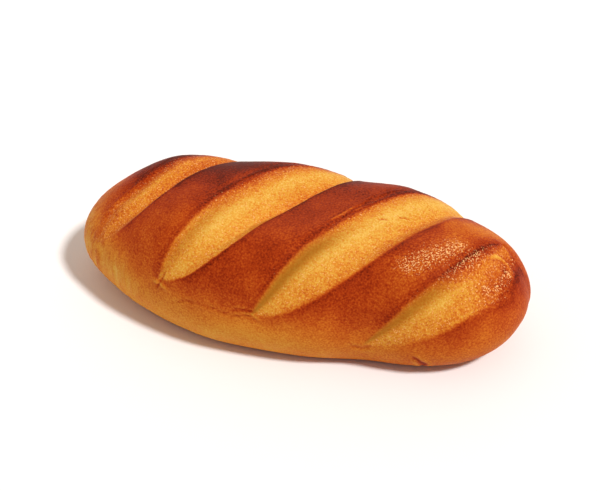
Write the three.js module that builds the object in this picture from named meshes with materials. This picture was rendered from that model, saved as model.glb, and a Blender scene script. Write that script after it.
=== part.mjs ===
// White bread loaf: one oval loaf, slashed four times across the crown before baking.
// Millimetres, +Z up. The long axis runs along X and the underside rests on z = 0.

import * as THREE from 'three';
import { mergeGeometries, mergeVertices } from 'three/addons/utils/BufferGeometryUtils.js';

// ---- whole loaf ----
const HALF_LENGTH = 140;
const HALF_WIDTH = 63;
const HEIGHT = 77;
const BELLY_HEIGHT = 27.3; // height at which the loaf is widest
const PLAN_POWER = 2.25; // outline seen from above: 2 is an ellipse, more is squarer
const PLAN_POWER_LEAN = -0.13; // added to the power at the +X end, taken off it at the other
const CROWN_POWER = 3.33; // cross-section above the belly: more is squarer
const END_TAPER = 0.02; // share of the width gained or lost at the +X end
const FLAT_SHARE = 0.74; // part of the outline's radius that touches the table
const MEAN_RADIUS = (HALF_LENGTH + HALF_WIDTH) / 2;
const LEFT_DROOP = 0.064; // share of the height lost at the -X end
const RIGHT_DROOP = -0.06; // share of the height lost at the +X end
const DROOP_FROM = 40; // mm from the middle of the loaf
const SPINE_HALF_LENGTH = 77; // the line inside the loaf that it is rounded about
const SPINE_HEIGHT = 30.4;

// Places where the dough swelled or drew in: how far outwards, and over what spread.
const SWELLS = [
  { x: -38, y: -60, spread: 35, outwards: 3.5 },
  { x: 55, y: -58, spread: 25, outwards: -5.2 },
  { x: -85, y: 30, spread: 32, outwards: 3.1 },
  { x: -115, y: -35, spread: 28, outwards: -3.6 },
  { x: 115, y: -32, spread: 28, outwards: 1.7 },
  { x: -128, y: 25, spread: 25, outwards: -1.2 },
];

// ---- slashes ----
// x is measured at the crown line. Seen from above a cut runs along
//   x = crownX + slant * across + bow * across^2
// where across is the distance over the crust from the crown line, + towards +Y.
// The cut opens towards +X by up to `opening` and sinks by up to `depth`.
const SLASHES = [
  { crownX: -107.6, slant: 0.4285, bow: 0.0033, front: -64.3, back: 110, opening: 30.9, depth: 7 },
  { crownX: -39.3, slant: 0.562, bow: 0.0025, front: -83, back: 70, opening: 39, depth: 8.5 },
  { crownX: 37.2, slant: 0.6236, bow: 0.0014, front: -94, back: 66.5, opening: 38.8, depth: 7 },
  { crownX: 111, slant: 0.4415, bow: -0.0016, front: -95.5, back: 19, opening: 37.5, depth: 4.5 },
];
const FLANK_STRETCH = 0.8; // distance over the crust gained per mm of drop below the crown
const CROWN_BLEND = 15; // mm each side of the crown line where the two flanks' distances blend
const OPENING_POWER = 0.38; // less than 1 gives a wide middle with short blunt tips
const FRONT_PART = [0.25, 0.65]; // shares of a slash's length over which its front fades
const DEPTH_POWER = 1.1; // how gently the depth starts at the front tip
const BACK_FADE = [-10, 14]; // mm past the back tip over which the depth dies away
const END_MARGIN = 9; // a slash never opens nearer to the +X end than this
const FRONT_SHOULDER = 0.3; // share of the depth that rounds the crust before the cut line
const BACK_SHOULDER = 0.1;
const SHOULDER_WIDTH = 14;
const FALL_SHARES = [0.1, 0.9]; // shares of the opening between which the floor descends
const STEP_FROM = -9; // mm from the far side of the opening, where the floor climbs out
const STEP_TO = 4;
const ROLL_SHARE = 0.4; // share of the depth that rounds the crust past the opening
const ROLL_FROM = -4; // mm from the far side of the opening
const ROLL_TO = 32;
const SLASH_FADE = [8, 22]; // heights between which a slash fades in

// ---- crust colour ----
const CRUST_COLOUR = 0xb5621f;
const CRUST_ROUGHNESS = 0.55;

// ---- facets ----
const CELLS_LONG = 64;
const CELLS_WIDE = 28;
const CELLS_FLANK = 12;
const CROWN_SHARE = 0.44; // part of the crown-to-underside line taken by the top face
const BELLY_AT = 0.75; // value of the section curve's parameter where it passes the belly
const SECTION_STEPS = 4000; // steps in which the section curve's length is measured
const CELL_SLANT = 0.24; // leans the rows of cells along the slashes
const UNDERSIDE_GROUP = 5; // BoxGeometry keeps its six faces in this order: +X -X +Y -Y +Z -Z
const WELD_DISTANCE = 1e-3;

function smoothstep(from, to, value) {
  return THREE.MathUtils.smoothstep(value, from, to);
}

// Half of the cross-section, from the crown over the belly to the rim of the flat underside.
// x is the share of the outline's radius in millimetres of mean radius; y is the height.
class CrownToUnderside extends THREE.Curve {
  getPoint(t, target = new THREE.Vector2()) {
    if (t < BELLY_AT) {
      const angle = (Math.PI / 2) * (1 - t / BELLY_AT);
      const radius = Math.pow(Math.cos(angle), 2 / CROWN_POWER);
      const height = BELLY_HEIGHT + (HEIGHT - BELLY_HEIGHT) * Math.sin(angle);
      return target.set(radius * MEAN_RADIUS, height);
    }
    const tuck = (Math.PI / 2) * ((t - BELLY_AT) / (1 - BELLY_AT));
    const radius = FLAT_SHARE + (1 - FLAT_SHARE) * Math.cos(tuck);
    return target.set(radius * MEAN_RADIUS, BELLY_HEIGHT * (1 - Math.sin(tuck)));
  }
}

// Direction from a point of the crust to the spine.
function towardsSpine(point) {
  const spineX = THREE.MathUtils.clamp(point.x, -SPINE_HALF_LENGTH, SPINE_HALF_LENGTH);
  return new THREE.Vector3(spineX, 0, SPINE_HEIGHT).sub(point).normalize();
}

// Moves a point outwards by the swells round it, never below the table.
function swollen(point) {
  const outward = towardsSpine(point).negate();
  outward.z = Math.max(outward.z, 0);
  const result = point.clone();
  for (const swell of SWELLS) {
    const distance = Math.hypot(point.x - swell.x, point.y - swell.y);
    const nearness = Math.exp(-Math.pow(distance / swell.spread, 2));
    result.addScaledVector(outward, swell.outwards * nearness);
  }
  return result;
}

// Point of the loaf before slashing, for a point of the box with corners at +-1.
function loafPoint(box, section) {
  const lean = box.x + CELL_SLANT * box.y * (1 - box.x * box.x);
  const discX = lean * Math.sqrt(1 - (box.y * box.y) / 2);
  const discY = box.y * Math.sqrt(1 - (lean * lean) / 2);
  const onTop = box.z > 1 - WELD_DISTANCE;
  const share = onTop
    ? CROWN_SHARE * Math.hypot(discX, discY)
    : CROWN_SHARE + ((1 - CROWN_SHARE) * (1 - box.z)) / 2;
  const profile = section.getPointAt(Math.min(share, 1));
  const radius = profile.x / MEAN_RADIUS;

  const turn = Math.atan2(discY, discX);
  const cos = Math.cos(turn);
  const sin = Math.sin(turn);
  const power = PLAN_POWER + PLAN_POWER_LEAN * cos;
  const reach = Math.pow(
    Math.pow(Math.abs(cos), power) + Math.pow(Math.abs(sin), power),
    -1 / power,
  );
  const x = HALF_LENGTH * radius * reach * cos;
  const taper = 1 + (END_TAPER * x) / HALF_LENGTH;
  const y = HALF_WIDTH * radius * reach * sin * taper;
  const leftDroop = LEFT_DROOP * smoothstep(DROOP_FROM, HALF_LENGTH, -x);
  const rightDroop = RIGHT_DROOP * smoothstep(DROOP_FROM, HALF_LENGTH, x);
  const z = profile.y * (1 - leftDroop - rightDroop);
  return swollen(new THREE.Vector3(x, y, z));
}

// How far one slash sinks the crust at a point. The floor falls from the cut to its deepest
// just before the far side of the opening, then climbs out and rolls over into the next ridge.
function slashDepth(slash, point) {
  const side = point.y / Math.hypot(point.y, CROWN_BLEND);
  const across = point.y + FLANK_STRETCH * (HEIGHT - point.z) * side;
  const along = (across - slash.front) / (slash.back - slash.front);
  const lens = Math.max(4 * along * (1 - along), 0);
  const cutX = slash.crownX + slash.slant * across + slash.bow * across * across;
  const room = HALF_LENGTH - END_MARGIN - cutX;
  const opening = Math.min(slash.opening * Math.pow(lens, OPENING_POWER), room);
  const fromCut = point.x - cutX;
  const fromFarSide = fromCut - opening;
  const front = 1 - smoothstep(FRONT_PART[0], FRONT_PART[1], along);
  const shoulderShare = THREE.MathUtils.lerp(BACK_SHOULDER, FRONT_SHOULDER, front);
  const shoulder = shoulderShare * smoothstep(-SHOULDER_WIDTH, STEP_TO, fromCut);
  const [fallFrom, fallTo] = FALL_SHARES.map((share) => share * opening);
  const fall = (1 - shoulderShare) * smoothstep(fallFrom, fallTo, fromCut);
  const step = (1 - ROLL_SHARE) * smoothstep(STEP_FROM, STEP_TO, fromFarSide);
  const roll = ROLL_SHARE * smoothstep(ROLL_FROM, ROLL_TO, fromFarSide);
  const atBack = 1 - smoothstep(BACK_FADE[0], BACK_FADE[1], across - slash.back);
  const deepest = slash.depth * THREE.MathUtils.lerp(atBack, Math.pow(lens, DEPTH_POWER), front);
  return deepest * (shoulder + fall) * (1 - step - roll);
}

// Sinks a point of the crust towards the spine by the deepest slash over it.
function slashed(point) {
  const depths = SLASHES.map((slash) => slashDepth(slash, point));
  const depth = Math.max(...depths) * smoothstep(SLASH_FADE[0], SLASH_FADE[1], point.z);
  return point.clone().addScaledVector(towardsSpine(point), depth);
}

// Crown, flanks and tucked edge: a box of cells laid over the loaf, open underneath.
function crustShell() {
  const box = new THREE.BoxGeometry(2, 2, 2, CELLS_LONG, CELLS_WIDE, CELLS_FLANK);
  const underside = box.groups[UNDERSIDE_GROUP];
  box.setIndex([...box.index.array].slice(0, underside.start));
  box.deleteAttribute('normal');
  box.deleteAttribute('uv');
  const section = new CrownToUnderside();
  section.arcLengthDivisions = SECTION_STEPS;
  const positions = box.attributes.position;
  const corner = new THREE.Vector3();
  for (let i = 0; i < positions.count; i += 1) {
    corner.fromBufferAttribute(positions, i);
    const point = slashed(loafPoint(corner, section));
    positions.setXYZ(i, point.x, point.y, point.z);
  }
  return box;
}

// The flat face the loaf rests on, closing the shell along its lower rim.
function restingFace(shell) {
  const positions = shell.attributes.position;
  const rim = new Map();
  const point = new THREE.Vector3();
  for (const index of shell.index.array) {
    point.fromBufferAttribute(positions, index);
    if (point.z < WELD_DISTANCE) {
      const turn = Math.atan2(point.y, point.x).toFixed(4);
      rim.set(turn, new THREE.Vector2(point.x, point.y));
    }
  }
  const turns = [...rim.keys()].sort((a, b) => b - a);
  const outline = new THREE.Shape(turns.map((turn) => rim.get(turn)));
  const face = new THREE.ShapeGeometry(outline);
  face.deleteAttribute('normal');
  face.deleteAttribute('uv');
  face.index.array.reverse();
  return face;
}

function loafGeometry() {
  const shell = crustShell();
  const shellOnly = shell.toNonIndexed();
  shellOnly.clearGroups();
  const face = restingFace(shell).toNonIndexed();
  const closed = mergeVertices(mergeGeometries([shellOnly, face]), WELD_DISTANCE);
  closed.computeBoundingBox();
  const { min, max } = closed.boundingBox;
  closed.translate(-(min.x + max.x) / 2, -(min.y + max.y) / 2, -min.z);
  closed.computeVertexNormals();
  return closed;
}

function crustMaterial() {
  return new THREE.MeshStandardMaterial({
    color: CRUST_COLOUR,
    roughness: CRUST_ROUGHNESS,
    metalness: 0,
  });
}

const breadLoaf = new THREE.Mesh(loafGeometry(), crustMaterial());
breadLoaf.name = 'bread_loaf';

const model = new THREE.Group();
model.name = 'white_bread_loaf';
model.add(breadLoaf);

export default model;
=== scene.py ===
"""White bread loaf: its crust, its slashes and a plain studio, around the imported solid.

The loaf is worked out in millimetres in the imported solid's own frame, and is fitted into that
solid's box, in metres, at the end. A place on the crust is given as x and across, where across
is the distance over the crust from the crown line, + towards +Y. Browning runs from 0 for pale
dough to 1 for the darkest brown.
"""

import math
from collections import namedtuple

import bpy
import numpy as np
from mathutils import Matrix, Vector, noise


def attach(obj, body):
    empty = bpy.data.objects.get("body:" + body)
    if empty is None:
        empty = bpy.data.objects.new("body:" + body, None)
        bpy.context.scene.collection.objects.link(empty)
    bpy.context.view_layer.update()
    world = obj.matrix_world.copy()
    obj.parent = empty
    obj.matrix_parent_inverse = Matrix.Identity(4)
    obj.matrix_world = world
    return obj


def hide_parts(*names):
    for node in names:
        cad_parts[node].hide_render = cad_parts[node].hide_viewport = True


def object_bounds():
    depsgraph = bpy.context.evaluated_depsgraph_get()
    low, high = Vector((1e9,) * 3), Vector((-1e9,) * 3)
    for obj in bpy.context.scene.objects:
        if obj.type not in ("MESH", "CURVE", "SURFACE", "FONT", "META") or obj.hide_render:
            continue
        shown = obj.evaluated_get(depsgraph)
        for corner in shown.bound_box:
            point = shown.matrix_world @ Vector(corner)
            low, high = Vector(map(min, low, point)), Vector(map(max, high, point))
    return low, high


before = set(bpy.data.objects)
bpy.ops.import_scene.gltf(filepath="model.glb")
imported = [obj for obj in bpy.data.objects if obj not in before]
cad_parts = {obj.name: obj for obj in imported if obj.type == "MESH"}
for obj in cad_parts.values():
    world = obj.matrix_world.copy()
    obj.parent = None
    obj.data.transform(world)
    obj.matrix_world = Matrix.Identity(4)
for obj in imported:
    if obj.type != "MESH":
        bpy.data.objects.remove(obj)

CAD_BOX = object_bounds()
MM = 0.001

# ---- whole loaf, mm ----
HALF_LENGTH = 140
HALF_WIDTH = 63
HEIGHT = 77
BELLY_HEIGHT = 27.3  # height at which the loaf is widest
PLAN_POWER = 2.25  # outline seen from above: 2 is an ellipse, more is squarer
PLAN_POWER_LEAN = -0.13  # added to the power at the +X end, taken off it at the other
CROWN_POWER = 3.33  # cross-section above the belly: more is squarer
END_TAPER = 0.02  # share of the width gained at the +X end
FLAT_SHARE = 0.74  # part of the outline's radius that touches the table
LEFT_DROOP = 0.064  # share of the height lost at the -X end
RIGHT_DROOP = -0.06  # share of the height lost at the +X end
DROOP_FROM = 40  # mm from the middle of the loaf
MEAN_RADIUS = (HALF_LENGTH + HALF_WIDTH) / 2
SPINE_HALF_LENGTH = 77  # the line inside the loaf that it is rounded about
SPINE_HEIGHT = 30.4

# places where the dough swelled or drew in: x, y, spread and how far outwards
SWELLS = [
    (-38, -60, 35, 3.5),
    (55, -58, 25, -5.2),
    (-85, 30, 32, 3.1),
    (-115, -35, 28, -3.6),
    (115, -32, 28, 1.7),
    (-128, 25, 25, -1.2),
]

# ---- slashes, mm ----
# Seen from above a cut runs along x = crown_x + slant * across + bow * across ** 2, from
# across = front to across = back. It opened towards +X by up to opening and sank by up to
# depth, and its floor climbs out of it over step. The crust's colour fades out over lip each
# side of the cut, and comes back over soft each side of the far side. Of the browning inside,
# baked is the slash's own, end_baked is added towards the back tip, and fringe is the share of
# the opening that the torn lip's brown reaches over. The last key says how much painted shade,
# an olive darkening of the pale dough, is put beside the front of the cut.
SLASHES = [
    dict(crown_x=-107.6, slant=0.4285, bow=0.0033, front=-60, back=110,
         opening=30.9, depth=10, step=4, lip=5, soft=0.6,
         baked=0.20, end_baked=0.14, fringe=0.24, hollow=0.0),
    dict(crown_x=-39.3, slant=0.562, bow=0.0025, front=-83, back=70,
         opening=39, depth=10, step=5, lip=1.5, soft=0.6,
         baked=0.01, end_baked=0.05, fringe=0.20, hollow=0.35),
    dict(crown_x=37.2, slant=0.6236, bow=0.0014, front=-94, back=66.5,
         opening=38.8, depth=8, step=9, lip=1.8, soft=2.0,
         baked=0.06, end_baked=0.0, fringe=0.09, hollow=1.0),
    dict(crown_x=111, slant=0.4415, bow=-0.0016, front=-95.5, back=19,
         opening=37.5, depth=5, step=10, lip=1.2, soft=1.8,
         baked=0.09, end_baked=0.28, fringe=0.14, hollow=0.85),
]
FLANK_STRETCH = 0.8  # distance over the crust gained per mm of drop below the crown
CROWN_BLEND = 15  # mm each side of the crown line where the two flanks' distances blend
OPENING_POWER = 0.38  # less than 1 gives a wide middle with short blunt tips
END_MARGIN = 9  # mm; a slash never opens nearer to the +X end than this
NARROWEST = 0.5  # mm; opening taken where a slash has none
THINNEST = 0.002  # lens taken where a slash has none
SLASH_FADE = (8, 22)  # heights between which a slash fades in
WANDER = (1.2, 34)  # how far the cuts stray from their lines, and over what wavelength, mm

# shares of a slash's depth, near its back tip and near its front tip
SHOULDER = (0.07, 0.22)  # rounds the crust before the cut
WALL = (0.06, 0.28)  # drops at the cut
CREST = (0.04, 0.18)  # swells up from the floor
FALL = (0.87, 0.50)  # slopes down across the opening
ROLL_SHARE = 0.40  # rounds the crust past the far side; the rest of the depth climbs out steeply

SHOULDER_SPAN = (-12, 4)  # mm past the cut
WALL_SPAN = (0, 4)
CREST_SHAPE = (0.42, 0.17)  # shares of the opening: its middle and its spread
FALL_SPAN = (0.10, 0.92)  # shares of the opening
CLIMB_OVER = 0.3  # share of a slash's step that lies past the far side
ROLL_SPAN = (-4, 32)  # mm past the far side
FRONT_SPAN = (0.25, 0.65)  # shares of the length over which the front's shape gives way
FRONT_DEPTH_POWER = 1.1  # how gently the depth starts at the front tip
BACK_FADE = (-10, 14)  # mm past the back tip over which the depth dies away

# ---- browning inside the slashes ----
BAND_BROWNING = 0.16
FRONT_BROWNING = 0.05  # added near the front tip
FRONT_BROWNING_SPAN = (0.1, 0.45)  # shares of the length
END_BROWNING_SPAN = (0.25, 0.65)
TORN_BROWNING = 0.54  # added at the torn lip
TORN_FRONT_LOSS = 0.55  # share of it missing near the front tip
# lighter along the crest of the opened dough: partly paler dough, partly painted light where the
# crest faces the lamp
PALE_CREST_AND_PAINTED_LIGHT = 0.15  # taken off along the crest
PALE_CREST_SHAPE = (0.42, 0.13)  # shares of the opening: its middle and its spread
PALE_CREST_SPAN = (0.12, 0.3)  # shares of the length over which it starts
FAR_BROWNING = 0.25  # added up to the far side
FAR_BROWNING_SPAN = (0.6, 1.0)  # shares of the opening
FAR_FRONT_LOSS = 0.6  # share of it missing near the front tip
BAND_FRONT_SPAN = (0.25, 0.6)  # shares of the length over which the front's colours give way
# painted shade beside the front of the cut: its place across the opening and where it ends along
# the slash
PAINTED_SHADE_SHAPE = (0.16, 0.17)  # shares of the opening: its middle and its spread
PAINTED_SHADE_SPAN = (0.3, 0.55)  # shares of the length over which it ends
OPENED_HEIGHTS = (6, 18)  # heights between which the opened crust's look fades in
TIP_LENS = (0.0, 0.02)  # lens values between which a slash's colour fades in at its tips
FAR_AWAY = 99.0  # mm; distance taken where there is no slash

# ---- browning of the crust outside them ----
FLANK_BROWNING = 0.28
RIGHT_FLANK_BROWNING = 0.21  # added on the flank towards +X
RIGHT_FLANK_SPAN = (-20, 100)
RIDGE_BROWNING = 0.74
RIDGE_HEIGHTS = (18, 53)  # heights between which the flank's colour gives way to the ridges'
LEFT_END_SPAN = (60, 125)  # mm towards -X over which the left end begins
LEFT_END_LIFT = 16  # mm by which the flank's colour reaches higher there
BACK_SPAN = (-45, 45)  # y over which the front gives way to the back

# added to the ridges
# painted light: the ridges' left front is drawn lighter, standing in for light the lamps leave
# short there
LEFT_FRONT_PAINTED_LIGHT = -0.09
LEFT_FRONT_SPAN = (20, 90)
BACK_BROWNING = 0.12
LEFT_BACK_BROWNING = 0.15
LEFT_BACK_SPAN = (0, 60)
RIGHT_END_BROWNING = -0.06
RIGHT_END_SPAN = (105, 130)
LIP_BROWNING = 0.08
LIP_SHAPE = (1.5, 2.5)  # mm before the cut: its middle and its spread
FAR_LIP_BROWNING = 0.10
FAR_LIP_SHAPE = (1, 2)  # mm past the far side
SLOPE_BROWNING = 0.10  # fades away from the far side
SLOPE_FADE = 10  # mm
SLOPE_SHARES = (0.4, 1.0)  # how much of it at the front and at the back
# painted highlight: lighter on the glossy patch beside the last slash
BLISTER_PAINTED_HIGHLIGHT = -0.15
BLISTER_BAND_BROWNING = 0.12  # added inside the last slash instead
RIGHT_BACK_BROWNING = -0.38
RIGHT_BACK_SPREAD = 16
RIGHT_BACK_COURSE = [(92, 14), (104, 22), (114, 34)]

# added everywhere outside the slashes
STREAK_BROWNING = 0.11
STRETCH_BROWNING = 0.25
# darker at the edge of the underside: partly a burnt base edge, partly painted contact shadow
RIM_BROWNING_AND_PAINTED_SHADE = 0.35  # at the edge of the underside
RIM_HEIGHTS = (0.5, 5.0)
MOTTLE_TOP_GAIN = 0.5  # how much stronger the mottling is on the ridges

# ---- streaks, stretch marks and blisters ----
STREAK_LENGTH = 22
STREAK_WIDTH = 1.5
STREAK_SHAPE = (-2.5, 4.5)  # mm past the cut: their middle and their spread
STREAK_SPAN = (0.25, 0.5)  # shares of the length over which they start
STRETCH_HEIGHTS = (30, 60)  # heights over which the stretch marks of the left end die away
STRETCH_BACK_LOSS = 0.8  # share of them missing at the back
STRETCH_SQUEEZE = (1, 1, 0.12)  # makes the noise long from top to bottom
# the glossy, blistered patch on the ridge beside the last slash, which also gets a painted
# highlight
BLISTER_HIGHLIGHT_COURSE = [(73, -36), (84, -25), (95, -12)]
BLISTER_HIGHLIGHT_SPREAD = 11
BLISTER_END_SHARE = 0.9  # strength at the last slash's far end
BLISTER_END_CUT = (13, 20)  # mm past the cut over which it starts there
BLISTER_END_FAR = (-3, 1)  # mm past the far side over which it stops
BLISTER_END_SPAN = (0.35, 0.6)  # shares of the length over which it starts
BLISTER_NOISE_SPAN = (-0.2, 0.5)

# how rough, speckled and glossy the surface is, and how many painted glints it gets: 0 is smooth
# crust
SPECKLED_OPENED = 0.75
SPECKLED_BLISTER = 1.2
SPECKLED_MOST = 1.4
SPECKLED_LIP = 0.4
SPECKLED_LIP_SPREAD = 5
SPECKLED_LIP_HEIGHTS = (30, 50)

# ---- noise: strength, wavelength in mm, octaves and seed ----
SEED_SHIFT = (7.3, -3.1, 5.7)  # how far each seed moves the noise along X, Y and Z
OCTAVE_ROUGHNESS = 1.0
OCTAVE_STEP = 2.0  # how much finer each octave is than the one before
STRAY_OCTAVES = 2
RIDGE_EDGE_NOISE = (4, 30, 2, 9)
MOTTLE_NOISE = (0.07, 18, 3, 10)
BAND_MOTTLE_NOISE = (0.07, 9, 3, 11)
BAND_FLECK_NOISE = (0.06, 2.6, 2, 12)
STRETCH_NOISE = (1, 2.4, 2, 13)
BLISTER_NOISE = (1, 8, 3, 14)
FORM_NOISE = (0.8, 46, 2, 3)
DIMPLE_NOISE = (0.22, 13, 2, 4)
PIMPLE_NOISE = (0.22, 4.2, 3, 5)
PORE_NOISE = (0.16, 2.0, 2, 6)
SKIN_NOISE = (0.05, 3.0, 2, 7)
STREAK_NOISE = (1, 1, 2)  # without its seed; the streaks are measured in wavelengths
STREAK_SEED = 20  # of the first slash; each later slash takes the next seed
WANDER_SEEDS = (1, 2)
CREASE_SEEDS = (30, 31, 32)

# ---- relief along the normal, mm ----
DIMPLE_SHARES = (0.4, 1.0)  # how much of the dimples on the crust and inside the slashes
STREAK_RELIEF = 0.45
STRETCH_RELIEF = 0.5
RELIEF_HEIGHTS = (0.5, 8)  # heights over which the relief starts above the table

# ---- creases, scars, cracks and wrinkles: corners as (x, across), mm ----
# Where depth is less than 0 the mark stands proud. Each mark's browning is painted shade in a
# groove and, less than 0, painted light on a raised mark.
CREASES = [
    # wrinkle along the front flank
    dict(course=[(-63, -98), (-50, -94), (-34, -95), (-22, -98), (-6, -94)],
         width=0.7, depth=0.5, browning=0.16),
    # scars at the front tips of the second, third and fourth slashes
    dict(course=[(-73, -83), (-66, -85), (-60, -90)], width=1.0, depth=-0.6, browning=-0.25),
    dict(course=[(-70, -89), (-66, -83), (-64, -78)], width=0.9, depth=0.6, browning=0.20),
    dict(course=[(-14, -92), (-8, -94), (-2, -97)], width=1.0, depth=-0.6, browning=-0.20),
    dict(course=[(-22, -94), (-12, -92), (-4, -94)], width=0.8, depth=0.6, browning=0.30),
    dict(course=[(46, -99), (54, -98), (60, -96)], width=0.9, depth=0.5, browning=0.12),
    # fissure low on the front, near the +X end
    dict(course=[(82, -96), (88, -97), (94, -98)], width=0.7, depth=0.7, browning=0.45),
    # scratches and a fold beside the third slash
    dict(course=[(22, -16), (27, -8), (34, 5)], width=0.7, depth=-0.4, browning=-0.22),
    dict(course=[(27, -10), (31, -4), (38, 4)], width=0.7, depth=-0.4, browning=-0.20),
    dict(course=[(18, -34), (24, -22), (30, -7), (38, 7), (45, 25)],
         width=0.8, depth=0.25, browning=0.05),
    # short cracks inside the third slash
    dict(course=[(48, -4), (51, -2), (54, -1)], width=0.7, depth=0.5, browning=0.40),
    dict(course=[(58, 4), (62, 6), (65, 6)], width=0.7, depth=0.5, browning=0.35),
    # far side and end ring of the fourth slash
    dict(course=[(104, -74), (112, -62), (120, -52), (128, -38), (131, -28)],
         width=0.8, depth=0.35, browning=0.12),
    dict(course=[(113, -13), (116, -6), (120, 0), (125, 3), (128, -2), (129, -12), (127, -22)],
         width=1.4, depth=-0.35, browning=-0.26),
]
CREASE_BEND = (0.5, 8)  # how far a crease strays from its course, and over what wavelength, mm
CREASE_END = 0.2  # share of a course over which a crease fades at each end
CREASE_BANK = 0.5  # height of the banks beside a crease, as a share of its depth
# banks beside a groove get painted light, and banks beside a raised mark painted shade
PAINTED_BANK_SHADING = 0.35  # change of browning on the banks, as a share of the crease's own

# ---- mesh ----
CELLS_LONG = 320
CELLS_WIDE = 140
CELLS_FLANK = 50
CROWN_SHARE = 0.55  # part of the crown-to-underside line taken by the top of the box
CELL_SLANT = 0.24  # leans the rows of cells along the slashes
CROWN_STEPS = 1500
TUCK_STEPS = 500
TINY = 1e-6

Place = namedtuple("Place", "past_cut past_far opening along lens")
Marks = namedtuple("Marks", "opened band hollow before_cut past_band streaks")


def smooth(start, end, value):
    """0 before start, 1 after end, and a smooth climb between them."""
    share = np.clip((value - start) / (end - start), 0, 1)
    return share * share * (3 - 2 * share)


def bell(value, centre, width):
    """1 at the centre, fading to 0 about two widths away."""
    return np.exp(-((value - centre) / width) ** 2)


def between(first, second, share):
    """First where share is 0, second where it is 1."""
    return first + (second - first) * share


def lumps(points, strength, wavelength, octaves, seed):
    """Smooth noise about -strength to strength at each point."""
    shift = Vector([seed * step for step in SEED_SHIFT])
    shape = (OCTAVE_ROUGHNESS, OCTAVE_STEP, octaves)
    scaled = points / wavelength
    values = [noise.fractal(Vector(point) + shift, *shape) for point in scaled]
    return strength * np.array(values)


def straying(points, amount, wavelength, seeds):
    """Points moved by noise along X, Y and Z in turn, as many axes as there are seeds."""
    moved = points.copy()
    for axis, seed in enumerate(seeds):
        moved[:, axis] += lumps(points, amount, wavelength, STRAY_OCTAVES, seed)
    return moved


# ---- shape ----

def box_shell():
    """Corners of a box's top and four sides, from -1 to 1, and the quads between them."""
    nx, ny, nz = CELLS_LONG, CELLS_WIDE, CELLS_FLANK
    i, j = np.meshgrid(np.arange(nx), np.arange(ny), indexing="ij")
    top = [(i + a, j + b, 0 * i + nz) for a, b in ((0, 0), (1, 0), (1, 1), (0, 1))]
    i, k = np.meshgrid(np.arange(nx), np.arange(nz), indexing="ij")
    front = [(i + a, 0 * i, k + c) for a, c in ((0, 0), (1, 0), (1, 1), (0, 1))]
    back = [(i + a, 0 * i + ny, k + c) for a, c in ((0, 0), (0, 1), (1, 1), (1, 0))]
    j, k = np.meshgrid(np.arange(ny), np.arange(nz), indexing="ij")
    left = [(0 * j, j + b, k + c) for b, c in ((0, 0), (0, 1), (1, 1), (1, 0))]
    right = [(0 * j + nx, j + b, k + c) for b, c in ((0, 0), (1, 0), (1, 1), (0, 1))]
    corners = []
    for side in (top, front, back, left, right):
        quads = np.stack([np.stack(corner, axis=-1).reshape(-1, 3) for corner in side], axis=1)
        corners.append(quads)
    corners = np.concatenate(corners)
    unique, index = np.unique(corners.reshape(-1, 3), axis=0, return_inverse=True)
    return unique / np.array([nx, ny, nz]) * 2 - 1, index.reshape(-1, 4)


def crown_to_underside():
    """Half of the cross-section, by share of its length: share, radius and height."""
    angle = np.linspace(math.pi / 2, 0, CROWN_STEPS)
    radius = np.cos(angle) ** (2 / CROWN_POWER)
    height = BELLY_HEIGHT + (HEIGHT - BELLY_HEIGHT) * np.sin(angle)
    tuck = np.linspace(0, math.pi / 2, TUCK_STEPS)[1:]
    radius = np.append(radius, FLAT_SHARE + (1 - FLAT_SHARE) * np.cos(tuck))
    height = np.append(height, BELLY_HEIGHT * (1 - np.sin(tuck)))
    steps = np.hypot(np.diff(radius) * MEAN_RADIUS, np.diff(height))
    length = np.append(0, np.cumsum(steps))
    return length / length[-1], radius, height


def towards_spine(points):
    """Unit vectors from each point to the line segment the loaf is rounded about."""
    spine = np.column_stack([
        np.clip(points[:, 0], -SPINE_HALF_LENGTH, SPINE_HALF_LENGTH),
        0 * points[:, 1],
        0 * points[:, 2] + SPINE_HEIGHT,
    ])
    inward = spine - points
    return inward / np.linalg.norm(inward, axis=1)[:, None]


def swollen(points):
    """Points moved outwards by the swells round them, never below the table."""
    x, y, _ = points.T
    outward = -towards_spine(points)
    outward[:, 2] = np.maximum(outward[:, 2], 0)
    amount = np.zeros(len(points))
    for x0, y0, spread, outwards in SWELLS:
        amount += outwards * np.exp(-((x - x0) ** 2 + (y - y0) ** 2) / spread ** 2)
    return points + outward * amount[:, None]


def loaf_points(box):
    """Points of the loaf before slashing, for points of the box shell."""
    x, y, z = box.T
    lean = x + CELL_SLANT * y * (1 - x * x)
    disc_x = lean * np.sqrt(1 - y * y / 2)
    disc_y = y * np.sqrt(1 - lean * lean / 2)
    on_top = CROWN_SHARE * np.hypot(disc_x, disc_y)
    on_side = CROWN_SHARE + (1 - CROWN_SHARE) * (1 - z) / 2
    share = np.where(z > 1 - TINY, on_top, on_side)
    length, radius, height = crown_to_underside()
    radius = np.interp(share, length, radius)
    height = np.interp(share, length, height)
    turn = np.arctan2(disc_y, disc_x)
    cos, sin = np.cos(turn), np.sin(turn)
    power = PLAN_POWER + PLAN_POWER_LEAN * cos
    reach = (np.abs(cos) ** power + np.abs(sin) ** power) ** (-1 / power)
    px = HALF_LENGTH * radius * reach * cos
    py = HALF_WIDTH * radius * reach * sin * (1 + END_TAPER * px / HALF_LENGTH)
    left_droop = LEFT_DROOP * smooth(DROOP_FROM, HALF_LENGTH, -px)
    right_droop = RIGHT_DROOP * smooth(DROOP_FROM, HALF_LENGTH, px)
    return swollen(np.column_stack([px, py, height * (1 - left_droop - right_droop)]))


def distance_across(points):
    """Distance over the crust from the crown line, + towards +Y."""
    _, y, z = points.T
    side = y / np.hypot(y, CROWN_BLEND)
    return y + FLANK_STRETCH * (HEIGHT - z) * side


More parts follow.
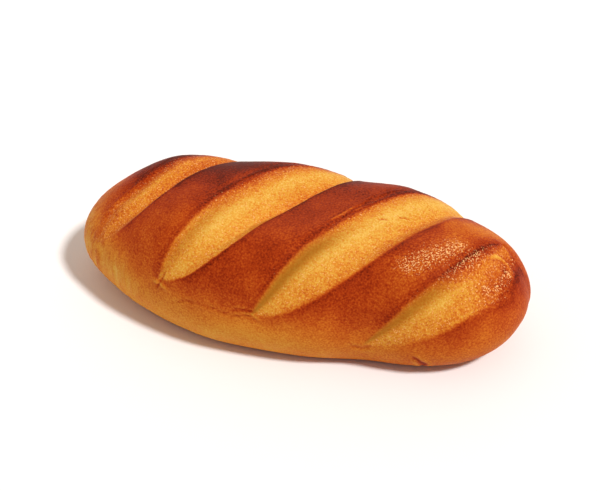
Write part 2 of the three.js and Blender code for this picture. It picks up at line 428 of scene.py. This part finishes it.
def slash_place(slash, points):
    """Where points lie in a slash: mm past the cut, mm past the far side of the opening, width
    of the opening, share of the slash's length, and how open it is there, 0 to 1."""
    across = distance_across(points)
    length = slash["back"] - slash["front"]
    along = (across - slash["front"]) / length
    lens = np.clip(4 * along * (1 - along), 0, 1)
    cut_x = slash["crown_x"] + slash["slant"] * across + slash["bow"] * across ** 2
    cut_slope = slash["slant"] + 2 * slash["bow"] * across
    room = HALF_LENGTH - END_MARGIN - cut_x
    opening = np.minimum(slash["opening"] * lens ** OPENING_POWER, room)
    lens_slope = 4 * (1 - 2 * along) / length
    widening = OPENING_POWER * np.maximum(lens, THINNEST) ** (OPENING_POWER - 1) * lens_slope
    far_slope = cut_slope + slash["opening"] * widening
    from_cut = points[:, 0] - cut_x
    past_cut = from_cut / np.hypot(1, cut_slope)
    past_far = (from_cut - opening) / np.hypot(1, far_slope)
    return Place(past_cut, past_far, opening, along, lens)


def slash_depth(slash, place):
    """How far a slash sinks the crust. Past the cut the floor drops over a short wall, swells
    to a low crest and falls to its deepest just before it climbs out on the far side. Towards
    the back tip the wall and the crest fade and the slash stays deep for longer."""
    share = place.past_cut / np.maximum(place.opening, NARROWEST)
    front = 1 - smooth(*FRONT_SPAN, place.along)
    shoulder = between(*SHOULDER, front) * smooth(*SHOULDER_SPAN, place.past_cut)
    wall = between(*WALL, front) * smooth(*WALL_SPAN, place.past_cut)
    crest = between(*CREST, front) * bell(share, *CREST_SHAPE)
    fall = between(*FALL, front) * smooth(*FALL_SPAN, share)
    step = slash["step"]
    climb = (1 - ROLL_SHARE) * smooth(-step, CLIMB_OVER * step, place.past_far)
    roll = ROLL_SHARE * smooth(*ROLL_SPAN, place.past_far)
    sunk = (shoulder + wall - crest + fall) * (1 - climb - roll)
    past_back = (place.along - 1) * (slash["back"] - slash["front"])
    at_front = place.lens ** FRONT_DEPTH_POWER
    at_back = 1 - smooth(*BACK_FADE, past_back)
    return slash["depth"] * between(at_back, at_front, front) * sunk


def slashed_loaf():
    """The slashed loaf's points and quads, its points before slashing, and their places in
    each slash."""
    box, quads = box_shell()
    points = loaf_points(box)
    cuts = straying(points, *WANDER, WANDER_SEEDS)
    places = [slash_place(slash, cuts) for slash in SLASHES]
    depths = [slash_depth(slash, place) for slash, place in zip(SLASHES, places)]
    depth = np.max(depths, axis=0) * smooth(*SLASH_FADE, points[:, 2])
    return points + towards_spine(points) * depth[:, None], quads, points, places


# ---- marks over the crust ----

def band_browning(slash, place, points):
    """Browning inside one slash: dark where the crust tore, palest along a crest, which is partly
    paler dough and partly painted light, and darker again up to the far side."""
    share = place.past_cut / np.maximum(place.past_cut - place.past_far, NARROWEST)
    front = 1 - smooth(*BAND_FRONT_SPAN, place.along)
    browning = BAND_BROWNING + slash["baked"]
    browning += FRONT_BROWNING * (1 - smooth(*FRONT_BROWNING_SPAN, place.along))
    browning += slash["end_baked"] * smooth(*END_BROWNING_SPAN, place.along)
    torn = np.exp(-np.maximum(share, 0) / slash["fringe"])
    browning += TORN_BROWNING * torn * (1 - TORN_FRONT_LOSS * front)
    crest = bell(share, *PALE_CREST_SHAPE) * smooth(*PALE_CREST_SPAN, place.along)
    # partly paler dough, partly painted light, along the crest
    browning -= PALE_CREST_AND_PAINTED_LIGHT * crest
    browning += FAR_BROWNING * smooth(*FAR_BROWNING_SPAN, share) * (1 - FAR_FRONT_LOSS * front)
    browning += lumps(points, *BAND_MOTTLE_NOISE)
    return browning + lumps(points, *BAND_FLECK_NOISE)


def painted_hollow_shade(slash, place):
    """How much painted shade, an olive darkening of the pale dough, goes beside the front of one
    slash's cut.
    """
    share = place.past_cut / np.maximum(place.past_cut - place.past_far, NARROWEST)
    return slash["hollow"] * bell(share, *PAINTED_SHADE_SHAPE) * (1 - smooth(*PAINTED_SHADE_SPAN, place.along))


def lip_streaks(slash, place, seed):
    """Streaks along the lip of one slash's cut, missing near its front tip."""
    length = slash["back"] - slash["front"]
    lines = np.column_stack([
        place.along * length / STREAK_LENGTH,
        place.past_cut / STREAK_WIDTH,
        0 * place.along,
    ])
    near = bell(place.past_cut, *STREAK_SHAPE) * smooth(*STREAK_SPAN, place.along)
    return near * lumps(lines, *STREAK_NOISE, seed)


def slash_marks(places, points):
    """Marks of all the slashes: how opened the crust is, the browning and the painted shade of the
    opened part, mm before the nearest cut and past the nearest band, and streaks on the lips."""
    count = len(points)
    opened, band, hollow, streaks = (np.zeros(count) for _ in range(4))
    before_cut, past_band = np.full(count, FAR_AWAY), np.full(count, FAR_AWAY)
    for number, (slash, place) in enumerate(zip(SLASHES, places)):
        lip, soft = slash["lip"], slash["soft"]
        real = smooth(*TIP_LENS, place.lens)
        after_cut = smooth(-lip, lip, place.past_cut)
        inside = after_cut * (1 - smooth(-soft, soft, place.past_far)) * real
        ours = inside > opened
        opened = np.where(ours, inside, opened)
        band = np.where(ours, band_browning(slash, place, points), band)
        hollow = np.where(ours, painted_hollow_shade(slash, place) * inside, hollow)
        beside = place.lens > TIP_LENS[1]
        before = np.where(beside & (place.past_cut <= 0), -place.past_cut, FAR_AWAY)
        past = np.where(beside & (place.past_far >= 0), place.past_far, FAR_AWAY)
        before_cut = np.minimum(before_cut, before)
        past_band = np.minimum(past_band, past)
        streaks += lip_streaks(slash, place, STREAK_SEED + number) * real
    opened *= smooth(*OPENED_HEIGHTS, points[:, 2])
    return Marks(opened, band, hollow, before_cut, past_band, streaks)


def course_distance(points, course):
    """Mm over the crust from each point to a course of (x, across) corners, and the share of
    the course at its nearest place."""
    here = np.column_stack([points[:, 0], distance_across(points)])
    nearest, place = np.full(len(points), FAR_AWAY), np.zeros(len(points))
    corners = np.array(course, float)
    legs = len(corners) - 1
    for leg in range(legs):
        start, run = corners[leg], corners[leg + 1] - corners[leg]
        share = np.clip((here - start) @ run / (run @ run), 0, 1)
        distance = np.linalg.norm(here - start - share[:, None] * run, axis=1)
        place = np.where(distance < nearest, (leg + share) / legs, place)
        nearest = np.minimum(nearest, distance)
    return nearest, place


def blisters_and_highlight(points, last):
    """Where the crust is rough and glossy: a patch on the ridge beside the last slash, which the
    ridges' browning paints lighter as a highlight, and blisters at its far end.
    """
    patch, _ = course_distance(points, BLISTER_HIGHLIGHT_COURSE)
    end = smooth(*BLISTER_END_CUT, last.past_cut)
    end = end * (1 - smooth(*BLISTER_END_FAR, last.past_far))
    end = end * smooth(*BLISTER_END_SPAN, last.along)
    rough = smooth(*BLISTER_NOISE_SPAN, lumps(points, *BLISTER_NOISE))
    return np.clip(bell(patch, 0, BLISTER_HIGHLIGHT_SPREAD) + BLISTER_END_SHARE * end * rough, 0, 1)


def stretch_marks(points):
    """Fine upright marks where the dough stretched at the -X end."""
    x, y, z = points.T
    front = 1 - STRETCH_BACK_LOSS * smooth(*BACK_SPAN, y)
    low = 1 - smooth(*STRETCH_HEIGHTS, z)
    marks = lumps(points * STRETCH_SQUEEZE, *STRETCH_NOISE)
    return smooth(*LEFT_END_SPAN, -x) * front * low * marks


def ridge_browning(points, marks, blister_and_highlight):
    """Browning that the tops of the ridges have beyond their usual, with painted light on their
    left front and a painted highlight on the glossy patch.
    """
    x, y, _ = points.T
    back = smooth(*BACK_SPAN, y)
    # painted light on the left front
    browning = LEFT_FRONT_PAINTED_LIGHT * smooth(*LEFT_FRONT_SPAN, -x) * (1 - back)
    browning += (BACK_BROWNING + LEFT_BACK_BROWNING * smooth(*LEFT_BACK_SPAN, -x)) * back
    browning += RIGHT_END_BROWNING * smooth(*RIGHT_END_SPAN, x)
    browning += LIP_BROWNING * bell(marks.before_cut, *LIP_SHAPE)
    browning += FAR_LIP_BROWNING * bell(marks.past_band, *FAR_LIP_SHAPE)
    slope = np.exp(-marks.past_band / SLOPE_FADE)
    browning += SLOPE_BROWNING * slope * between(*SLOPE_SHARES, back)
    # painted highlight on the glossy patch
    browning += BLISTER_PAINTED_HIGHLIGHT * blister_and_highlight
    right_back, _ = course_distance(points, RIGHT_BACK_COURSE)
    return browning + RIGHT_BACK_BROWNING * bell(right_back, 0, RIGHT_BACK_SPREAD)


def crust_browning(points, marks, blister_and_highlight, stretched):
    """Browning outside the slashes: palest low on the flank, darkest on top of the ridges."""
    x, _, z = points.T
    lift = LEFT_END_LIFT * smooth(*LEFT_END_SPAN, -x)
    top = smooth(*RIDGE_HEIGHTS, z - lift + lumps(points, *RIDGE_EDGE_NOISE))
    flank = FLANK_BROWNING + RIGHT_FLANK_BROWNING * smooth(*RIGHT_FLANK_SPAN, x)
    browning = between(flank, RIDGE_BROWNING, top)
    browning += ridge_browning(points, marks, blister_and_highlight) * top
    browning += lumps(points, *MOTTLE_NOISE) * (1 + MOTTLE_TOP_GAIN * top)
    browning += STREAK_BROWNING * marks.streaks
    browning += STRETCH_BROWNING * stretched
    # darker rim: partly burnt base edge, partly painted contact shadow
    return browning + RIM_BROWNING_AND_PAINTED_SHADE * (1 - smooth(*RIM_HEIGHTS, z))


def speckling(points, marks, blister_and_highlight):
    """How rough, speckled and glossy the surface is, and how many painted glints its colour gets.
    """
    speckled = np.clip(SPECKLED_OPENED * marks.opened + SPECKLED_BLISTER * blister_and_highlight,
                       0, SPECKLED_MOST)
    lip = bell(marks.before_cut, 0, SPECKLED_LIP_SPREAD)
    return np.maximum(speckled, SPECKLED_LIP * lip * smooth(*SPECKLED_LIP_HEIGHTS, points[:, 2]))


def surface_relief(points, marks, speckled, stretched):
    """How far the surface stands out from the slashed shape."""
    relief = lumps(points, *FORM_NOISE)
    relief += lumps(points, *DIMPLE_NOISE) * between(*DIMPLE_SHARES, marks.opened)
    relief += speckled * (lumps(points, *PIMPLE_NOISE) + lumps(points, *PORE_NOISE))
    relief += (1 - marks.opened) * lumps(points, *SKIN_NOISE)
    return relief + STREAK_RELIEF * marks.streaks + STRETCH_RELIEF * stretched


def add_creases(points, relief, browning):
    """Presses the creases into relief, in place, and paints shade into their grooves and light
    onto raised marks, with the opposite on their banks.
    """
    bent = straying(points, *CREASE_BEND, CREASE_SEEDS)
    for crease in CREASES:
        distance, place = course_distance(bent, crease["course"])
        width = crease["width"]
        fade = smooth(0, CREASE_END, place) * (1 - smooth(1 - CREASE_END, 1, place))
        line = bell(distance, 0, width) * fade
        bank = bell(distance, 2 * width, width) * fade
        relief -= crease["depth"] * (line - CREASE_BANK * bank)
        browning += crease["browning"] * (line - PAINTED_BANK_SHADING * bank)


# ---- crust mesh ----

def crust_mesh(shaped, quads):
    """Mesh of the slashed loaf, closed by one flat face underneath."""
    rim = np.where(shaped[:, 2] < TINY)[0]
    turn = np.arctan2(shaped[rim, 1], shaped[rim, 0])
    underside = rim[np.argsort(-turn)]
    mesh = bpy.data.meshes.new("bread_loaf_crust")
    mesh.from_pydata(shaped.tolist(), [], quads.tolist() + [underside.tolist()])
    mesh.update()
    return mesh


def vertex_normals(mesh):
    normals = np.zeros(len(mesh.vertices) * 3, np.float32)
    mesh.vertices.foreach_get("normal", normals)
    return normals.reshape(-1, 3).astype(float)


def fitted_to_solid(points):
    """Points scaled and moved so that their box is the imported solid's, in metres."""
    low, high = (np.array(corner) for corner in CAD_BOX)
    least, most = points.min(axis=0), points.max(axis=0)
    return low + (points - least) * (high - low) / (most - least)


def build_loaf():
    shaped, quads, points, places = slashed_loaf()
    marks = slash_marks(places, points)
    blister_and_highlight = blisters_and_highlight(points, places[-1])
    stretched = stretch_marks(points)
    speckled = speckling(points, marks, blister_and_highlight)

    crust = crust_browning(points, marks, blister_and_highlight, stretched)
    band = marks.band + BLISTER_BAND_BROWNING * blister_and_highlight
    browning = between(crust, band, marks.opened)
    relief = surface_relief(points, marks, speckled, stretched)
    add_creases(points, relief, browning)
    relief *= smooth(*RELIEF_HEIGHTS, shaped[:, 2])

    mesh = crust_mesh(shaped, quads)
    raised = shaped + vertex_normals(mesh) * relief[:, None]
    mesh.vertices.foreach_set("co", fitted_to_solid(raised).ravel().astype(np.float32))
    masks = dict(browning=browning, hollow=marks.hollow, speckled=speckled)
    for name, values in masks.items():
        attribute = mesh.attributes.new(name, "FLOAT", "POINT")
        attribute.data.foreach_set("value", values.astype(np.float32))
    mesh.update()
    mesh.shade_smooth()
    loaf = bpy.data.objects.new("bread_loaf_crust", mesh)
    bpy.context.scene.collection.objects.link(loaf)
    return loaf


# ---- material ----

def srgb(red, green, blue):
    """A colour given as it shows on screen, 0 to 255, as the shader wants it."""
    def linear(value):
        value /= 255
        return value / 12.92 if value <= 0.04045 else ((value + 0.055) / 1.055) ** 2.4
    return (linear(red), linear(green), linear(blue), 1)


BROWNED_COLOURS = [
    (0.00, srgb(226, 180, 84)),
    (0.15, srgb(219, 160, 60)),
    (0.32, srgb(213, 133, 42)),
    (0.46, srgb(200, 106, 31)),
    (0.62, srgb(180, 75, 21)),
    (0.76, srgb(158, 52, 14)),
    (0.90, srgb(128, 36, 10)),
    (1.00, srgb(90, 22, 6)),
]
# painted shade: an olive colour mixed over the pale dough beside the front of the cuts
PAINTED_SHADE_COLOUR = srgb(158, 98, 24)
PAINTED_SHADE_SHARE = 0.85
# painted glints: bright specks mixed into the colour as highlights, on noise peaks where the crust
# is speckled
PAINTED_GLINT = srgb(244, 188, 124)
GLINT_SIZE = 0.9 * MM
GLINT_DETAIL = 1
GLINT_CONTRAST = 7.0
GLINT_CUT = -5.35  # added to the contrasted noise, so that only its peaks show
GLINT_GAIN = 1.5  # added too, times how speckled the surface is
GRAIN_SIZE = 1.1 * MM
GRAIN_DETAIL = 2
NOISE_MIDDLE = 0.5  # the value a noise texture swings about
# each is the value on smooth crust, and what it gains where the crust is speckled
GRAIN_BROWNING = (0.62, 0.30)
ROUGHNESS = (0.50, -0.08)
BUMP_STRENGTH = (0.45, 0.55)
BUMP_HEIGHT = 0.35 * MM
BUMP_DETAIL = 3
SPECULAR_LEVEL = 0.05
SPECULAR_TINT = (1.0, 0.72, 0.48, 1)


def add_node(tree, kind, **values):
    node = tree.nodes.new(kind)
    for name, value in values.items():
        setattr(node, name, value)
    return node


def mask_node(tree, name):
    return add_node(tree, "ShaderNodeAttribute", attribute_name=name).outputs["Fac"]


def noise_node(tree, coordinates, wavelength, detail):
    node = add_node(tree, "ShaderNodeTexNoise")
    node.inputs["Scale"].default_value = 1 / wavelength
    node.inputs["Detail"].default_value = detail
    tree.links.new(coordinates, node.inputs["Vector"])
    return node.outputs["Fac"]


def math_node(tree, operation, *values, use_clamp=False):
    node = add_node(tree, "ShaderNodeMath", operation=operation, use_clamp=use_clamp)
    for socket, value in zip(node.inputs, values):
        if isinstance(value, (int, float)):
            socket.default_value = value
        else:
            tree.links.new(value, socket)
    return node.outputs[0]


def gain_node(tree, mask, start, gain):
    """Start where the mask is 0, and gain more than that where it is 1."""
    return math_node(tree, "MULTIPLY_ADD", mask, gain, start)


def colour_ramp(tree, value, colours):
    ramp = add_node(tree, "ShaderNodeValToRGB")
    stops = ramp.color_ramp.elements
    for position, _ in colours[1:-1]:
        stops.new(position)
    for stop, (position, colour) in zip(stops, colours):
        stop.position = position
        stop.color = colour
    tree.links.new(value, ramp.inputs["Fac"])
    return ramp.outputs["Color"]


def mix_colours(tree, share, colour, other):
    """Colour with a share of a fixed other colour mixed in."""
    node = add_node(tree, "ShaderNodeMix", data_type="RGBA")
    tree.links.new(share, node.inputs["Factor"])
    tree.links.new(colour, node.inputs["A"])
    node.inputs["B"].default_value = other
    return node.outputs["Result"]


def crust_colour(tree, where, speckled):
    """Colour by browning with fine grain, with painted shade beside the cuts and small painted
    glints mixed in.
    """
    hollow = mask_node(tree, "hollow")
    noise_value = noise_node(tree, where, GRAIN_SIZE, GRAIN_DETAIL)
    grain = math_node(tree, "SUBTRACT", noise_value, NOISE_MIDDLE)
    strength = gain_node(tree, speckled, *GRAIN_BROWNING)
    grained_browning = math_node(tree, "MULTIPLY_ADD", grain, strength, mask_node(tree, "browning"))
    browned = colour_ramp(tree, grained_browning, BROWNED_COLOURS)
    # painted shade mixed in beside the cuts
    painted_shade_amount = math_node(tree, "MULTIPLY", hollow, PAINTED_SHADE_SHARE)
    with_painted_shade = mix_colours(tree, painted_shade_amount, browned, PAINTED_SHADE_COLOUR)
    # painted glints, kept off the painted shade
    cut = gain_node(tree, speckled, GLINT_CUT, GLINT_GAIN)
    peaks = noise_node(tree, where, GLINT_SIZE, GLINT_DETAIL)
    painted_glints = math_node(tree, "MULTIPLY_ADD", peaks, GLINT_CONTRAST, cut, use_clamp=True)
    lit = math_node(tree, "SUBTRACT", speckled, hollow, use_clamp=True)
    return mix_colours(tree, math_node(tree, "MULTIPLY", painted_glints, lit), with_painted_shade, PAINTED_GLINT)


def crust_material():
    material = bpy.data.materials.new("baked_crust")
    material.use_nodes = True
    tree = material.node_tree
    shader = tree.nodes["Principled BSDF"]
    where = add_node(tree, "ShaderNodeTexCoord").outputs["Object"]
    speckled = mask_node(tree, "speckled")
    tree.links.new(crust_colour(tree, where, speckled), shader.inputs["Base Color"])
    tree.links.new(gain_node(tree, speckled, *ROUGHNESS), shader.inputs["Roughness"])
    shader.inputs["Specular IOR Level"].default_value = SPECULAR_LEVEL
    shader.inputs["Specular Tint"].default_value = SPECULAR_TINT
    bump = add_node(tree, "ShaderNodeBump")
    bump.inputs["Distance"].default_value = BUMP_HEIGHT
    tree.links.new(gain_node(tree, speckled, *BUMP_STRENGTH), bump.inputs["Strength"])
    height = noise_node(tree, where, GRAIN_SIZE, BUMP_DETAIL)
    tree.links.new(height, bump.inputs["Height"])
    tree.links.new(bump.outputs["Normal"], shader.inputs["Normal"])
    return material


# ---- studio, in metres, with azimuths from -Y towards +X ----

CAMERA_AZIMUTH = 17.2
CAMERA_ELEVATION = 40
CAMERA_DISTANCE = 0.70
CAMERA_TARGET = Vector((0, 0, 0.035))
LENS = 69.6
SENSOR_WIDTH = 36
SHIFT_X = 1.39 / 600  # shares of the picture's width
SHIFT_Y = 7.8 / 600
VIEW_DISTANCE = 50

FLOOR_RADIUS = 12
FLOOR_SIDES = 64
FLOOR_COLOUR = (0.93, 0.93, 0.93, 1)
FLOOR_ROUGHNESS = 0.8
FLOOR_SPECULAR = 0.1

# the sky's colour by the height of a direction, and its strength, which falls off towards the
# front and the right
SKY_COLOURS = [(0.02, (0.9, 0.89, 0.88, 1)), (0.11, (0.58, 0.495, 0.435, 1))]
SKY_STRENGTH = 0.90
SKY_BACK_GAIN = 0.50
SKY_RIGHT_GAIN = -0.55
SKY_MOST = 1.3

KEY_LIGHT = dict(azimuth=75, elevation=54, strength=2.85, angle=9, colour=(1.0, 1.0, 1.0))
GLINT_LIGHT = dict(azimuth=197, elevation=42, strength=0.9, angle=10, colour=(1.0, 0.80, 0.62))


def direction(azimuth, elevation):
    """Unit vector towards an azimuth and an elevation in degrees."""
    azimuth, elevation = math.radians(azimuth), math.radians(elevation)
    flat = math.cos(elevation)
    return Vector((math.sin(azimuth) * flat, -math.cos(azimuth) * flat, math.sin(elevation)))


def add_camera():
    data = bpy.data.cameras.new("photo_camera")
    data.lens = LENS
    data.sensor_width = SENSOR_WIDTH
    data.shift_x = SHIFT_X
    data.shift_y = SHIFT_Y
    data.clip_end = VIEW_DISTANCE
    camera = bpy.data.objects.new("photo_camera", data)
    back = direction(CAMERA_AZIMUTH, CAMERA_ELEVATION)
    camera.location = CAMERA_TARGET + back * CAMERA_DISTANCE
    camera.rotation_euler = back.to_track_quat("Z", "Y").to_euler()
    bpy.context.scene.collection.objects.link(camera)
    bpy.context.scene.camera = camera


def add_floor():
    turns = np.linspace(0, 2 * math.pi, FLOOR_SIDES, endpoint=False)
    corners = [(FLOOR_RADIUS * math.cos(turn), FLOOR_RADIUS * math.sin(turn), 0) for turn in turns]
    mesh = bpy.data.meshes.new("floor")
    mesh.from_pydata(corners, [], [tuple(range(FLOOR_SIDES))])
    material = bpy.data.materials.new("floor_white")
    material.use_nodes = True
    shader = material.node_tree.nodes["Principled BSDF"]
    shader.inputs["Base Color"].default_value = FLOOR_COLOUR
    shader.inputs["Roughness"].default_value = FLOOR_ROUGHNESS
    shader.inputs["Specular IOR Level"].default_value = FLOOR_SPECULAR
    mesh.materials.append(material)
    floor = bpy.data.objects.new("floor", mesh)
    bpy.context.scene.collection.objects.link(floor)


def add_sun(name, azimuth, elevation, strength, angle, colour):
    """A distant light, angle degrees wide."""
    data = bpy.data.lights.new(name, "SUN")
    data.energy = strength
    data.angle = math.radians(angle)
    data.color = colour
    sun = bpy.data.objects.new(name, data)
    towards = direction(azimuth, elevation)
    sun.rotation_euler = towards.to_track_quat("Z", "Y").to_euler()
    bpy.context.scene.collection.objects.link(sun)
    return sun


def add_sky():
    world = bpy.data.worlds.new("studio")
    bpy.context.scene.world = world
    world.use_nodes = True
    tree = world.node_tree
    background = tree.nodes["Background"]
    split = add_node(tree, "ShaderNodeSeparateXYZ")
    facing = add_node(tree, "ShaderNodeTexCoord").outputs["Generated"]
    tree.links.new(facing, split.inputs["Vector"])
    colour = colour_ramp(tree, split.outputs["Z"], SKY_COLOURS)
    tree.links.new(colour, background.inputs["Color"])
    by_depth = gain_node(tree, split.outputs["Y"], SKY_STRENGTH, SKY_BACK_GAIN)
    strength = gain_node(tree, split.outputs["X"], by_depth, SKY_RIGHT_GAIN)
    strength = math_node(tree, "MINIMUM", strength, SKY_MOST)
    tree.links.new(strength, background.inputs["Strength"])


def main():
    add_camera()
    add_floor()
    add_sky()
    add_sun("key", **KEY_LIGHT)
    glint = add_sun("glint", **GLINT_LIGHT)
    glint.visible_diffuse = False
    bpy.context.scene.view_settings.view_transform = "Standard"
    loaf = build_loaf()
    loaf.data.materials.append(crust_material())
    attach(loaf, "root")
    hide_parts("bread_loaf")


main()
